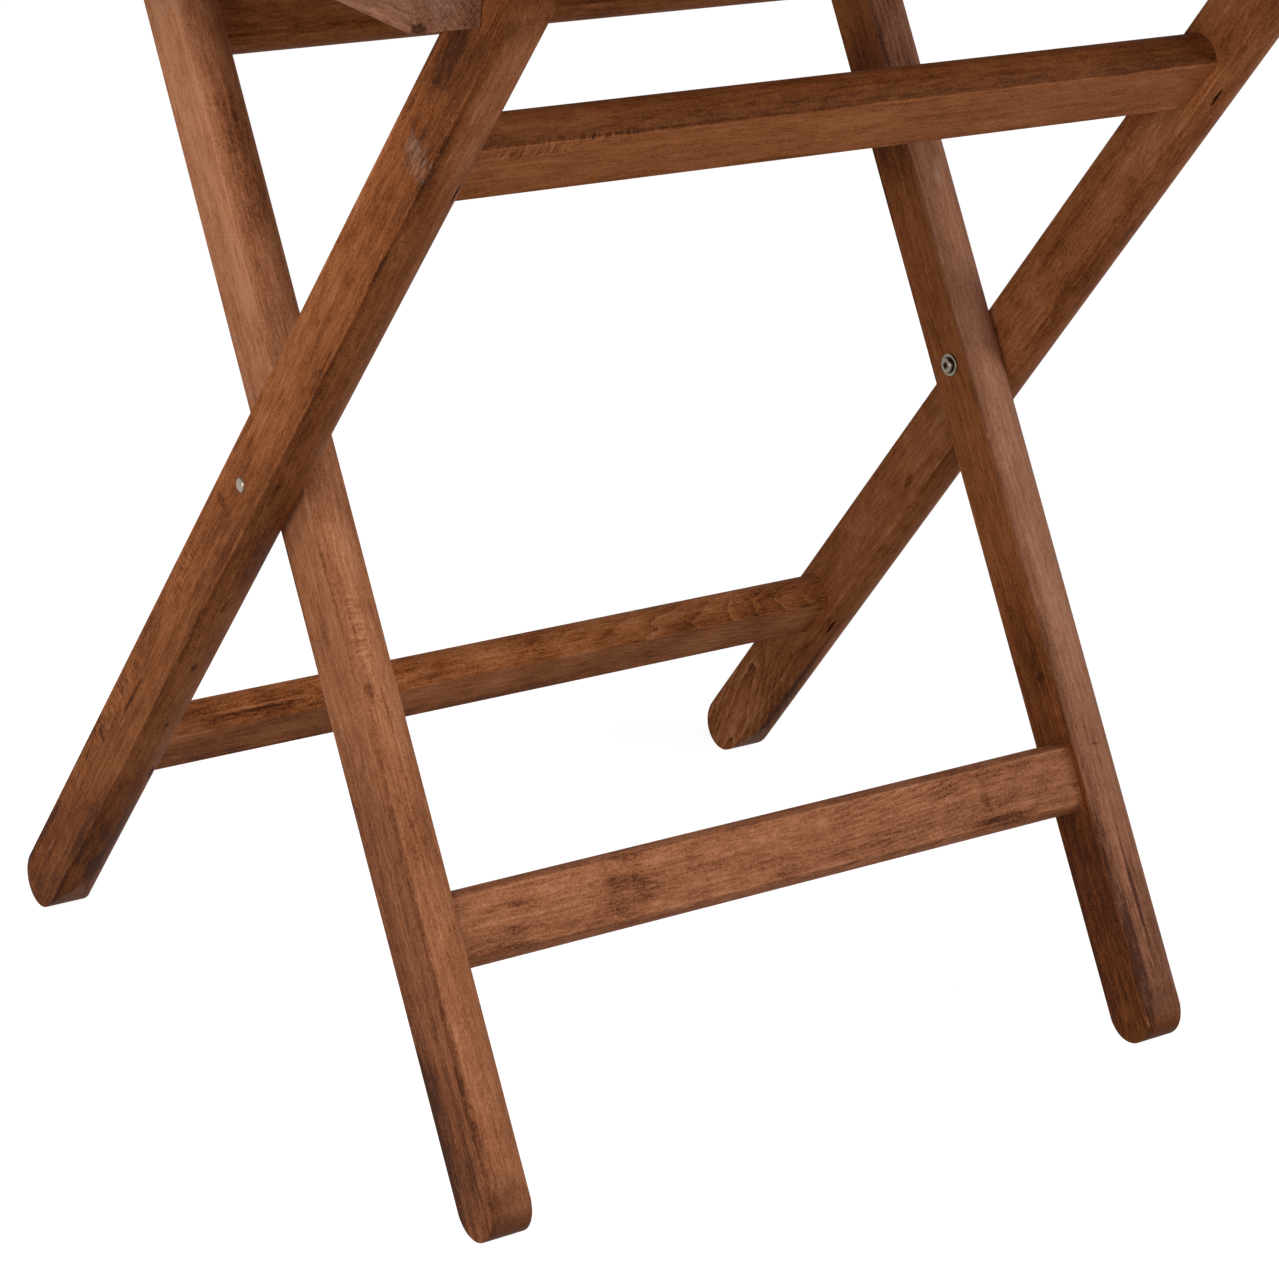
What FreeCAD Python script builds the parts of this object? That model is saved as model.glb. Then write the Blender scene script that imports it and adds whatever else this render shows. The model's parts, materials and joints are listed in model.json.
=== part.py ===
import FreeCAD, Part
import math
import os

# Folding tray table: two crossed beech frames on a pair of pivots, and a loose tray that sits
# on the four leg tips.
# Frame of the part: +Z up, X along the rails, Y across the crossing legs.
# Origin: on the floor, under the middle of the table.  Everything is in millimetres.

V = FreeCAD.Vector
X_AXIS = V(1, 0, 0)
Z_AXIS = V(0, 0, 1)
SIDES = (("left", -1), ("right", 1))

# ---------------------------------------------------------------- driving dimensions
# The two leg frames
FRAME_WIDTH = 500.0          # across the outer faces of the outer legs
PIVOT_HEIGHT = 326.0         # floor to the pivot axis
SEAT_HEIGHT = 634.0          # floor to the underside of the tray base
LEG_LEAN = 33.6              # each frame's tilt from upright, degrees
LEG_THICK = 23.5             # leg, along X
LEG_WIDTH = 41.5             # leg, across its crowned edges
LEG_CROWN = 4.5              # how far the crowned edge stands above the flat face's border
LEG_GAP = 1.0                # between an outer and an inner leg
ARRIS = 1.0                  # worn radius where a flat face meets a crowned edge
END_EASE = 150.0             # radius of the long curves that narrow a leg towards its ends
END_EASE_START = 0.4         # they start this far outside the crowned edge, and so cross it
END_EASE_DEPTH = 5.5         # how far in from the crowned edge they end, just inside the flat face

# The four rails
RAIL_THICK = 21.0
RAIL_CROWN = 4.2
UPPER_RAIL_HEIGHT = 43.0
LOWER_RAIL_HEIGHT = 39.5
UPPER_RAIL_DROP = 111.0      # centre of the leg's round top to the rail, along the leg
LOWER_RAIL_RISE = 134.5      # centre of its round foot to the rail
TENON_THICK = 10.0
TENON_LENGTH = 16.0
TENON_SHOULDER = 7.0         # rail edge to the tenon's edge
GLUE_LINE = 0.05             # all round a glued tenon, panel or pin

# Staples that lock the tenons
STAPLE_CROWN = 10.6
STAPLE_WIRE = 1.2
STAPLE_LEG = 20.0
STAPLE_INSET = 5.0           # from the leg's inner face
STAPLE_SINK = 1.6            # the crown lies this deep in its slit

# Pivot hardware
SLEEVE_RADIUS = 3.8
SLEEVE_END = 1.6             # height of the tapered end, outside the outer leg
SLEEVE_END_RADIUS = 2.2      # its flat tip
SLEEVE_SHORT = 1.5           # the sleeve stops this short of the inner leg's inner face
SLEEVE_SOLID = 8.0           # closed length behind the tapered end
SCREW_RADIUS = 2.5
SCREW_HEAD_RADIUS = 4.3
SCREW_HEAD_HEIGHT = 2.4
SCREW_SHORT = 3.0            # the screw stops this short of the sleeve's closed end
WASHER_RADIUS = 6.8
WASHER_THICK = 1.2
SPACER_RADIUS = 11.0
RUNNING = 0.05               # clearance of a turning or screwed fit
END_PLAY = 0.1               # along the pivot

# The tray
WALL_THICK = 12.0
WALL_HEIGHT = 50.0
WALL_LIP = 5.0               # the walls hang this far below the base
WALL_EASE = 2.5              # chamfer along the walls' tops
TRAY_CORNER = 5.0
FINGERS = 5
BASE_THICK = 6.0
BASE_TONGUE = 4.0            # thickness of the rebated edge in the walls' groove
BASE_PLAY = 0.4              # the base's full thickness stops this short of the walls
GROOVE_DEPTH = 5.0
TIP_PLAY = 0.3               # leg tips to the base and to the lip
ARCH_RISE = 22.0
ARCH_TOP = 112.0             # length of the level top of the raised handle
ARCH_SHOULDER = 46.0         # run of each S-curve beside it
SLOT_LENGTH = 100.0
SLOT_HEIGHT = 26.0
SLOT_BRIDGE = 16.0           # wood above the hand slot
SLOT_EASE = 2.0              # chamfer round the hand slot

# Runners under the tray, one along each outer leg
RUNNER_WIDTH = 35.5
RUNNER_HEIGHT = 32.0
RUNNER_LENGTH = 378.0
RUNNER_PLAY = 0.5            # to the outer leg
RUNNER_MARGIN = 12.0         # runner to the inside of the tray's end wall
RUNNER_EASE = 0.8
RUNNER_SCREWS = 2
RUNNER_SCREW_END = 60.0      # end of the runner to its first screw
RUNNER_SCREW_RADIUS = 2.5    # its trim head is no wider than its shank
RUNNER_SCREW_BITE = 4.0      # into the base
RUNNER_SCREW_SINK = 0.3      # the head lies this deep in the runner's underside

# ---------------------------------------------------------------- derived places
LEAN = math.radians(LEG_LEAN)
END_TURN = math.acos(1 - (END_EASE_START + END_EASE_DEPTH) / END_EASE)
END_RADIUS = (LEG_WIDTH / 2 - END_EASE_DEPTH) / math.cos(END_TURN)
OUTER_FACE = FRAME_WIDTH / 2
OUTER_LEG_X = OUTER_FACE - LEG_THICK / 2
INNER_LEG_X = OUTER_LEG_X - LEG_THICK - LEG_GAP
FOOT_REACH = (PIVOT_HEIGHT - END_RADIUS) / math.cos(LEAN)
TIP_HEIGHT = SEAT_HEIGHT - TIP_PLAY - END_RADIUS
TIP_REACH = (TIP_HEIGHT - PIVOT_HEIGHT) / math.cos(LEAN)
UPPER_RAIL_REACH = TIP_REACH - UPPER_RAIL_DROP
LOWER_RAIL_REACH = FOOT_REACH - LOWER_RAIL_RISE
TRAY_INNER_Y = TIP_REACH * math.sin(LEAN) + END_RADIUS + TIP_PLAY
TRAY_OUTER_Y = TRAY_INNER_Y + WALL_THICK
RUNNER_X = OUTER_FACE + RUNNER_PLAY + RUNNER_WIDTH / 2
TRAY_INNER_X = RUNNER_X + RUNNER_WIDTH / 2 + RUNNER_MARGIN
TRAY_OUTER_X = TRAY_INNER_X + WALL_THICK
WALL_BOTTOM = SEAT_HEIGHT - WALL_LIP
WALL_TOP = WALL_BOTTOM + WALL_HEIGHT
ARCH_Z = WALL_TOP + ARCH_RISE
SLOT_Z = ARCH_Z - SLOT_BRIDGE - SLOT_HEIGHT / 2


# ---------------------------------------------------------------- helpers
def block(x0, x1, y0, y1, z0, z1):
    return Part.makeBox(x1 - x0, y1 - y0, z1 - z0, V(x0, y0, z0))


def arc(start, middle, end):
    return Part.Arc(start, middle, end).toShape()


def line(start, end):
    return Part.LineSegment(start, end).toShape()


def prism(edges, direction):
    return Part.Face(Part.Wire(edges)).extrude(direction)


def crowned_edges(point, thick, height, crown):
    """The outline of a bar: two flat faces, and a crowned edge at the top and the bottom.

    point(across, along) places a point of the outline, across the flat faces and up the bar.
    """
    across = thick / 2
    top = height / 2
    border = top - crown
    return [
        line(point(across, -border), point(across, border)),
        arc(point(across, border), point(0, top), point(-across, border)),
        line(point(-across, border), point(-across, -border)),
        arc(point(-across, -border), point(0, -top), point(across, -border)),
    ]


def round_long_edges(bar, direction, radius):
    """Wears the four long arrises of a bar that was extruded along direction."""
    long_edges = []
    for edge in bar.Edges:
        run = edge.lastVertex().Point - edge.firstVertex().Point
        if abs(run.dot(direction)) > 0.999 * run.Length and edge.Length > 4 * radius:
            long_edges.append(edge)
    return bar.makeFillet(radius, long_edges)


def stadium_edges(point, length, width):
    """A slot outline with half-round ends; point(along, across) places its points."""
    end = width / 2
    straight = length / 2 - end
    return [
        line(point(-straight, -end), point(straight, -end)),
        arc(point(straight, -end), point(length / 2, 0), point(straight, end)),
        line(point(straight, end), point(-straight, end)),
        arc(point(-straight, end), point(-length / 2, 0), point(-straight, -end)),
    ]


def cylinder_x(radius, x0, x1):
    """A cylinder on the X axis, from x0 to x1, given in either order."""
    low = min(x0, x1)
    return Part.makeCylinder(radius, abs(x1 - x0), V(low, 0, 0), X_AXIS)


def turned(edges):
    """A solid of revolution about the X axis from a closed outline in the XY plane."""
    return Part.Face(Part.Wire(edges)).revolve(V(0, 0, 0), X_AXIS, 360)


def outward(side, inset):
    """X of a place that lies inset from the outer legs' outer face, on the given side."""
    return side * (OUTER_FACE - inset)


def stand(shape, lean):
    """Tilts a shape from the flat frame (legs along Z, pivot at the origin) into the table."""
    placed = shape.copy()
    placed.rotate(V(0, 0, 0), X_AXIS, lean * LEG_LEAN)
    placed.translate(V(0, 0, PIVOT_HEIGHT))
    return placed


# ---------------------------------------------------------------- leg frames
# A frame is drawn flat: its legs run along Z, its pivot is at the origin, Y crosses the legs.
# lean is +1 for the outer frame, whose top comes forward, and -1 for the inner one.
def rails():
    """Name, place along the legs and height of a frame's two rails."""
    return (
        ("upper", UPPER_RAIL_REACH, UPPER_RAIL_HEIGHT),
        ("lower", -LOWER_RAIL_REACH, LOWER_RAIL_HEIGHT),
    )


def tenon(side, inner_face, reach, rail_height, grow):
    """A square tenon, or the mortise for it when grow is more than 0."""
    x0, x1 = sorted((side * inner_face, side * (inner_face + TENON_LENGTH + grow)))
    half_height = rail_height / 2 - TENON_SHOULDER + grow
    half_thick = TENON_THICK / 2 + grow
    return block(x0, x1, -half_thick, half_thick, reach - half_height, reach + half_height)


def staple_slit(side, inner_face, reach, lean, deep):
    """The narrow slot of a staple, open to the frame's underside, from its crown inwards.

    The crown lies at the depth that is returned with it.  deep is how far the slot goes on
    from there; a deep of 0 leaves only the slit over the sunk crown.
    """
    under = -lean
    x = side * (inner_face + STAPLE_INSET)
    crown = under * (LEG_WIDTH / 2 - LEG_CROWN / 2 - STAPLE_SINK)
    half = STAPLE_WIRE / 2
    span = STAPLE_CROWN / 2
    y0, y1 = sorted((crown - under * deep, under * LEG_WIDTH))
    return block(x - half, x + half, y0, y1, reach - span, reach + span), crown


def staple(side, inner_face, reach, lean):
    """A wire staple, driven from the frame's underside through leg and tenon."""
    under = -lean
    slot, crown = staple_slit(side, inner_face, reach, lean, STAPLE_LEG)
    slit, _ = staple_slit(side, inner_face, reach, lean, 0)
    x = side * (inner_face + STAPLE_INSET)
    span = STAPLE_CROWN / 2 - STAPLE_WIRE
    y0, y1 = sorted((crown - under * 2 * STAPLE_LEG, crown - under * STAPLE_WIRE))
    throat = block(x - STAPLE_WIRE, x + STAPLE_WIRE, y0, y1, reach - span, reach + span)
    return slot.cut(slit).cut(throat)


def end_edges(point, centre, way, side):
    """The outline of a leg's end: a long curve, the round tip, and the long curve of the far side.

    point(along, across) places a point, centre is the middle of the round tip, way is +1 for the
    top and -1 for the foot, and side is where the outline comes in.
    """
    drop = (END_EASE - END_RADIUS) * math.sin(END_TURN)
    start = LEG_WIDTH / 2 + END_EASE_START

    def eased(sign, turn):
        along = centre + way * (END_EASE * math.sin(turn) - drop)
        return point(along, sign * (start - END_EASE * (1 - math.cos(turn))))

    return [
        arc(eased(side, 0), eased(side, END_TURN / 2), eased(side, END_TURN)),
        arc(eased(side, END_TURN), point(centre + way * END_RADIUS, 0), eased(-side, END_TURN)),
        arc(eased(-side, END_TURN), eased(-side, END_TURN / 2), eased(-side, 0)),
    ]


def leg_outline():
    """The leg seen square to its flat face, as a slab thicker than the leg."""

    def outline(along, across):
        return V(-LEG_THICK, across, along)

    top = end_edges(outline, TIP_REACH, 1, 1)
    foot = end_edges(outline, -FOOT_REACH, -1, -1)
    sides = [
        line(top[-1].lastVertex().Point, foot[0].firstVertex().Point),
        line(foot[-1].lastVertex().Point, top[0].firstVertex().Point),
    ]
    return prism([*top, sides[0], *foot, sides[1]], V(2 * LEG_THICK, 0, 0))


def leg_blank():
    """A crowned bar, trimmed to the leg's outline."""

    def section(across, along):
        return V(across, along, -FOOT_REACH - LEG_WIDTH)

    bar = prism(
        crowned_edges(section, LEG_THICK, LEG_WIDTH, LEG_CROWN),
        V(0, 0, FOOT_REACH + TIP_REACH + 2 * LEG_WIDTH),
    )
    return round_long_edges(bar, Z_AXIS, ARRIS).common(leg_outline())


def leg(side, centre_x, lean, bore_radius):
    """One leg with its pivot bore, its two mortises and its staple slits."""
    inner_face = centre_x - LEG_THICK / 2
    body = leg_blank()
    body.translate(V(side * centre_x, 0, 0))
    bore_end = side * (centre_x + LEG_THICK)
    body = body.cut(cylinder_x(bore_radius, side * (centre_x - LEG_THICK), bore_end))
    for _, reach, height in rails():
        body = body.cut(tenon(side, inner_face, reach, height, GLUE_LINE))
        body = body.cut(staple(side, inner_face, reach, lean))
        body = body.cut(staple_slit(side, inner_face, reach, lean, 0)[0])
    return stand(body, lean)


def rail(inner_face, reach, height, lean):
    """A crowned rail between the legs' inner faces, with a tenon at each end."""

    def section(across, along):
        return V(-inner_face, across, reach + along)

    bar = prism(crowned_edges(section, RAIL_THICK, height, RAIL_CROWN), V(2 * inner_face, 0, 0))
    bar = round_long_edges(bar, X_AXIS, ARRIS)
    for _, side in SIDES:
        bar = bar.fuse(tenon(side, inner_face, reach, height, 0))
        bar = bar.cut(staple(side, inner_face, reach, lean))
    return stand(bar.removeSplitter(), lean)


def leg_frame(prefix, centre_x, lean, bore_radius):
    """All the named wooden pieces of one frame, and its group of staples."""
    inner_face = centre_x - LEG_THICK / 2
    pieces = {}
    staples = []
    for name, side in SIDES:
        pieces[f"{prefix}_leg_{name}"] = leg(side, centre_x, lean, bore_radius)
    for name, reach, height in rails():
        pieces[f"{prefix}_{name}_rail"] = rail(inner_face, reach, height, lean)
        for _, side in SIDES:
            staples.append(stand(staple(side, inner_face, reach, lean), lean))
    pieces[f"{prefix}_frame_staples"] = Part.makeCompound(staples)
    return pieces


# ---------------------------------------------------------------- pivot hardware
# Insets are measured from the outer leg's outer face towards the middle of the table.
INNER_LEG_INSET = 2 * LEG_THICK + LEG_GAP
SLEEVE_INSET = INNER_LEG_INSET - SLEEVE_SHORT
WASHER_INSET = INNER_LEG_INSET + END_PLAY
HEAD_INSET = WASHER_INSET + WASHER_THICK
SCREW_TIP = SLEEVE_SOLID + SCREW_SHORT


def sleeve(side):
    """A blind sleeve nut: a tapered closed end outside, bored from the inside for the screw."""
    face = outward(side, 0)
    inner = outward(side, SLEEVE_INSET)
    tip = outward(side, -SLEEVE_END)
    body = turned([
        line(V(inner, 0, 0), V(inner, SLEEVE_RADIUS, 0)),
        line(V(inner, SLEEVE_RADIUS, 0), V(face, SLEEVE_RADIUS, 0)),
        line(V(face, SLEEVE_RADIUS, 0), V(tip, SLEEVE_END_RADIUS, 0)),
        line(V(tip, SLEEVE_END_RADIUS, 0), V(tip, 0, 0)),
        line(V(tip, 0, 0), V(inner, 0, 0)),
    ])
    return body.cut(cylinder_x(SCREW_RADIUS + RUNNING, inner, outward(side, SLEEVE_SOLID)))


def screw(side):
    """A pan-head screw, driven from inside the table."""
    seat = outward(side, HEAD_INSET)
    tip = outward(side, SCREW_TIP)
    top = seat - side * SCREW_HEAD_HEIGHT
    return turned([
        line(V(tip, 0, 0), V(tip, SCREW_RADIUS, 0)),
        line(V(tip, SCREW_RADIUS, 0), V(seat, SCREW_RADIUS, 0)),
        line(V(seat, SCREW_RADIUS, 0), V(seat, SCREW_HEAD_RADIUS, 0)),
        line(V(seat, SCREW_HEAD_RADIUS, 0), V(top, SCREW_HEAD_RADIUS, 0)),
        line(V(top, SCREW_HEAD_RADIUS, 0), V(top, 0, 0)),
        line(V(top, 0, 0), V(tip, 0, 0)),
    ])


def ring(side, inset, thick, outer_radius, bore_radius):
    """A flat washer that starts at inset and is thick towards the middle of the table."""
    near = outward(side, inset)
    far = outward(side, inset + thick)
    return cylinder_x(outer_radius, near, far).cut(cylinder_x(bore_radius, near, far))


def pivots():
    """The pivot hardware of both sides."""
    pieces = {}
    for name, side in SIDES:
        parts = {
            f"pivot_sleeve_{name}": sleeve(side),
            f"pivot_screw_{name}": screw(side),
            f"pivot_screw_washer_{name}": ring(
                side, WASHER_INSET, WASHER_THICK, WASHER_RADIUS, SCREW_RADIUS + RUNNING),
            f"pivot_spacer_{name}": ring(
                side, LEG_THICK, LEG_GAP - END_PLAY, SPACER_RADIUS, SLEEVE_RADIUS + RUNNING),
        }
        for node, shape in parts.items():
            shape.translate(V(0, 0, PIVOT_HEIGHT))
            pieces[node] = shape
    return pieces


# ---------------------------------------------------------------- tray
def base_tongue(grow):
    """The base's rebated edge, or the groove for it when grow is more than 0."""
    x = TRAY_INNER_X + GROOVE_DEPTH + grow
    y = TRAY_INNER_Y + GROOVE_DEPTH + grow
    return block(-x, x, -y, y, SEAT_HEIGHT - grow, SEAT_HEIGHT + BASE_TONGUE + grow)


def tray_base():
    """The thin bottom board, rebated all round to a tongue."""
    x = TRAY_INNER_X - BASE_PLAY
    y = TRAY_INNER_Y - BASE_PLAY
    field = block(-x, x, -y, y, SEAT_HEIGHT, SEAT_HEIGHT + BASE_THICK)
    return field.fuse(base_tongue(0)).removeSplitter()


def tray_outline():
    """The tray's rounded-corner plan, as a tall prism that trims the walls' corners."""
    body = block(
        -TRAY_OUTER_X, TRAY_OUTER_X, -TRAY_OUTER_Y, TRAY_OUTER_Y, WALL_BOTTOM, ARCH_Z)
    return round_long_edges(body, Z_AXIS, TRAY_CORNER)


def fingers(first):
    """Corner blocks of every other finger, from the bottom when first is 0."""
    pitch = WALL_HEIGHT / FINGERS
    blocks = []
    for step in range(first, FINGERS, 2):
        low = WALL_BOTTOM + step * pitch
        high = ARCH_Z if step == FINGERS - 1 else low + pitch
        for sx in (-1, 1):
            for sy in (-1, 1):
                x0, x1 = sorted((sx * TRAY_INNER_X, sx * 2 * TRAY_OUTER_X))
                y0, y1 = sorted((sy * TRAY_INNER_Y, sy * 2 * TRAY_OUTER_Y))
                blocks.append(block(x0, x1, y0, y1, low, high))
    return Part.makeCompound(blocks)


def top_edges(body, low):
    """The edges of a wall's upper outline: all that lie above low and run along the wall."""
    chosen = []
    for edge in body.Edges:
        box = edge.BoundBox
        if box.ZMin > low and max(box.XLength, box.YLength) > WALL_THICK + 1e-3:
            chosen.append(edge)
    return chosen


def long_wall(side):
    """The front or back wall: a plain board with an eased top."""
    y0, y1 = sorted((side * TRAY_INNER_Y, side * TRAY_OUTER_Y))
    body = block(-TRAY_OUTER_X, TRAY_OUTER_X, y0, y1, WALL_BOTTOM, WALL_TOP)
    body = body.makeChamfer(WALL_EASE, top_edges(body, WALL_TOP - WALL_EASE))
    return body.common(tray_outline()).cut(fingers(1)).cut(base_tongue(GLUE_LINE))


def arch_half(face_x, mirror):
    """One S-curve from the wall's level top up to the raised handle, as two tangent arcs."""
    radius = (ARCH_SHOULDER ** 2 + ARCH_RISE ** 2) / (4 * ARCH_RISE)
    half_turn = math.asin(ARCH_SHOULDER / 2 / radius) / 2
    start = ARCH_TOP / 2 + ARCH_SHOULDER
    run = radius * math.sin(half_turn)
    rise = radius * (1 - math.cos(half_turn))
    foot = V(face_x, mirror * start, WALL_TOP)
    waist = V(face_x, mirror * (start - ARCH_SHOULDER / 2), WALL_TOP + ARCH_RISE / 2)
    head = V(face_x, mirror * ARCH_TOP / 2, ARCH_Z)
    lower = arc(foot, V(face_x, mirror * (start - run), WALL_TOP + rise), waist)
    upper = arc(waist, V(face_x, mirror * (ARCH_TOP / 2 + run), ARCH_Z - rise), head)
    return foot, head, lower, upper


def end_wall(side):
    """An end wall: its top sweeps up to a handle with a half-round-ended hand slot."""
    face_x = side * TRAY_INNER_X
    across = V(side * WALL_THICK, 0, 0)
    foot_b, head_b, lower_b, upper_b = arch_half(face_x, 1)
    foot_f, head_f, lower_f, upper_f = arch_half(face_x, -1)
    back_low = V(face_x, TRAY_OUTER_Y, WALL_BOTTOM)
    back_top = V(face_x, TRAY_OUTER_Y, WALL_TOP)
    front_low = V(face_x, -TRAY_OUTER_Y, WALL_BOTTOM)
    front_top = V(face_x, -TRAY_OUTER_Y, WALL_TOP)
    body = prism([
        line(front_low, back_low), line(back_low, back_top), line(back_top, foot_b),
        lower_b, upper_b, line(head_b, head_f), upper_f, lower_f,
        line(foot_f, front_top), line(front_top, front_low),
    ], across)
    body = body.makeChamfer(WALL_EASE, top_edges(body, WALL_TOP - WALL_EASE))

    def slot_point(along, up):
        return V(face_x, along, SLOT_Z + up)

    body = body.cut(prism(stadium_edges(slot_point, SLOT_LENGTH, SLOT_HEIGHT), across))
    rims = [
        edge for edge in body.Edges
        if edge.BoundBox.XLength < 1e-3
        and abs(edge.BoundBox.Center.y) < SLOT_LENGTH / 2
        and SLOT_Z - SLOT_HEIGHT < edge.BoundBox.ZMin
        and edge.BoundBox.ZMax < SLOT_Z + SLOT_HEIGHT / 2 + 1e-3
    ]
    body = body.makeChamfer(SLOT_EASE, rims)
    return body.common(tray_outline()).cut(fingers(0)).cut(base_tongue(GLUE_LINE))


# ---------------------------------------------------------------- runners
RUNNER_LOW = SEAT_HEIGHT - RUNNER_HEIGHT


def screw_places():
    """Y of each screw along a runner."""
    first = RUNNER_LENGTH / 2 - RUNNER_SCREW_END
    step = 2 * first / (RUNNER_SCREWS - 1)
    return [-first + step * i for i in range(RUNNER_SCREWS)]


def runner_screw(side, y, grow):
    """A trim-head screw up through the runner into the base, or the hole it cuts."""
    low = RUNNER_LOW + (RUNNER_SCREW_SINK if grow == 0 else 0)
    tip = SEAT_HEIGHT + RUNNER_SCREW_BITE + grow
    return Part.makeCylinder(RUNNER_SCREW_RADIUS + grow, tip - low, V(side * RUNNER_X, y, low))


def runner(side):
    """A square-ended batten under the base, beside the outer leg."""
    x0 = side * RUNNER_X - RUNNER_WIDTH / 2
    body = block(
        x0, x0 + RUNNER_WIDTH, -RUNNER_LENGTH / 2, RUNNER_LENGTH / 2, RUNNER_LOW, SEAT_HEIGHT)
    lower = [
        edge for edge in body.Edges
        if edge.BoundBox.ZMax < SEAT_HEIGHT - 1 and edge.Length > RUNNER_WIDTH + RUNNER_HEIGHT
    ]
    body = body.makeFillet(RUNNER_EASE, lower)
    for y in screw_places():
        body = body.cut(runner_screw(side, y, GLUE_LINE))
    return body


def tray():
    """The tray's named pieces, with its two runners and their screws."""
    base = tray_base()
    screws = []
    pieces = {
        "tray_front_wall": long_wall(-1),
        "tray_back_wall": long_wall(1),
    }
    for name, side in SIDES:
        pieces[f"tray_end_{name}"] = end_wall(side)
        pieces[f"runner_{name}"] = runner(side)
        for y in screw_places():
            base = base.cut(runner_screw(side, y, GLUE_LINE))
            screws.append(runner_screw(side, y, 0))
    pieces["tray_base"] = base
    pieces["runner_screws"] = Part.makeCompound(screws)
    return pieces


# ---------------------------------------------------------------- the whole table
def main():
    os.makedirs("parts", exist_ok=True)
    bore = SLEEVE_RADIUS + RUNNING
    pieces = {}
    pieces.update(leg_frame("outer", OUTER_LEG_X, 1, bore))
    pieces.update(leg_frame("inner", INNER_LEG_X, -1, bore))
    pieces.update(pivots())
    pieces.update(tray())
    for node, shape in pieces.items():
        shape.exportStep(f"parts/{node}.step")
        print(node, len(shape.Solids), "solid", "valid" if shape.isValid() else "NOT VALID",
              round(shape.Volume / 1000, 2), "cm3")


main()
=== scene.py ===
import json
import math

import bmesh
import bpy
from mathutils import Matrix, Quaternion, Vector


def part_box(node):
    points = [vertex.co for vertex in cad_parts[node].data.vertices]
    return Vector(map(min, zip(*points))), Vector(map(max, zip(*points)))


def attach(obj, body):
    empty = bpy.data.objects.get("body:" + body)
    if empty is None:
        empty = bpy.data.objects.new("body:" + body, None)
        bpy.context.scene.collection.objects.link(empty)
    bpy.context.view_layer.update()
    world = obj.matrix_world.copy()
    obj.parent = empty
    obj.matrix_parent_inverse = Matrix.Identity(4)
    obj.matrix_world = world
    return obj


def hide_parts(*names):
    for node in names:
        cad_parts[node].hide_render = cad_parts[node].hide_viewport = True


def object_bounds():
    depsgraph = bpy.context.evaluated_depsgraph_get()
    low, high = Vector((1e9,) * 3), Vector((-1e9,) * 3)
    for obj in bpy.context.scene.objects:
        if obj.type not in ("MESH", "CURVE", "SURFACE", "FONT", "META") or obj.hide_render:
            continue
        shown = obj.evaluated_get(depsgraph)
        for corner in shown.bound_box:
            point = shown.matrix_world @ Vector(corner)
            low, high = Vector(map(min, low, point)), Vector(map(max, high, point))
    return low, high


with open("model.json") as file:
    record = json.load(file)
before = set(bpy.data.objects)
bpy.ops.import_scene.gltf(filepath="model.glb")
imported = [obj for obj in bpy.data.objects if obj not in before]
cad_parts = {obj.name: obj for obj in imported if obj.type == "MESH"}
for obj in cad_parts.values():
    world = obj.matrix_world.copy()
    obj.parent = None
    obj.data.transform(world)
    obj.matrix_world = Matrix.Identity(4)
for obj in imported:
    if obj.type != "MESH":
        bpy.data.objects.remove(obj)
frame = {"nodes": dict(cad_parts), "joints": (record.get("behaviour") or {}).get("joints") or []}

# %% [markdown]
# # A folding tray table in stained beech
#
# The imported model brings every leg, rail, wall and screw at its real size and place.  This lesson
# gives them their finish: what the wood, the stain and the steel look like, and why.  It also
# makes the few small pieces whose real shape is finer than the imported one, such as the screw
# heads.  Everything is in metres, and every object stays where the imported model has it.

NODES = frame["nodes"]
MM = 0.001
cad_low, cad_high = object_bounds()
print("packed model, mm:", [round(v / MM) for v in cad_high - cad_low])

# %% [markdown]
# ## The table's own directions
#
# Each leg frame is flat, and leans away from upright by the same angle: the outer one with its
# top to the front, the inner one with its top to the back.  Grain always runs along a board, so
# each board needs a frame of its own: X along the grain, Y across it and Z out of the broad face.
# The lean is read from the pivot's height and from where the feet stand.

# %% Lean of the frames, and the directions of a board
FOOT_RADIUS = 15.83 * MM
X_AXIS = Vector((1, 0, 0))
Y_AXIS = Vector((0, 1, 0))
Z_AXIS = Vector((0, 0, 1))


def solve_lean(height, reach):
    """The lean of a leg whose round foot touches the floor and reaches this far from the pivot."""
    return math.atan2(reach - FOOT_RADIUS, height - FOOT_RADIUS)


pivot = Vector(next(j["pos_m"] for j in frame["joints"] if j["type"] == "hinge"))
LEAN = solve_lean(pivot.z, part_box("outer_leg_left")[1].y)
print("pivot above the floor, mm:", round(pivot.z / MM), " lean, degrees:",
      round(math.degrees(LEAN), 2))


def upwards(lean):
    """The direction from foot to top of a frame that leans by this angle, top to the front."""
    return Vector((0, -math.sin(lean), math.cos(lean)))


def board_turn(grain, out):
    """The turn that takes X to the grain's direction and Z out of the broad face."""
    return Matrix((grain, out.cross(grain), out)).transposed().to_euler()


def middle(node):
    """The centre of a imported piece."""
    low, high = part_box(node)
    return (low + high) / 2


# %% [markdown]
# ## Small helpers for materials
#
# Colours are written as the hex values a paint or stain card gives, and turned to linear light
# once.  One function adds any node: its settings are the node's own properties, and its inputs
# are numbers, colours, or the nodes and sockets that feed it.

# %% Colours and nodes


def linear(code):
    """A hex colour such as #93592f as linear red, green, blue and alpha."""
    parts = [int(code[i:i + 2], 16) / 255 for i in (1, 3, 5)]
    return [p / 12.92 if p <= 0.04045 else ((p + 0.055) / 1.055) ** 2.4 for p in parts] + [1]


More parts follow.
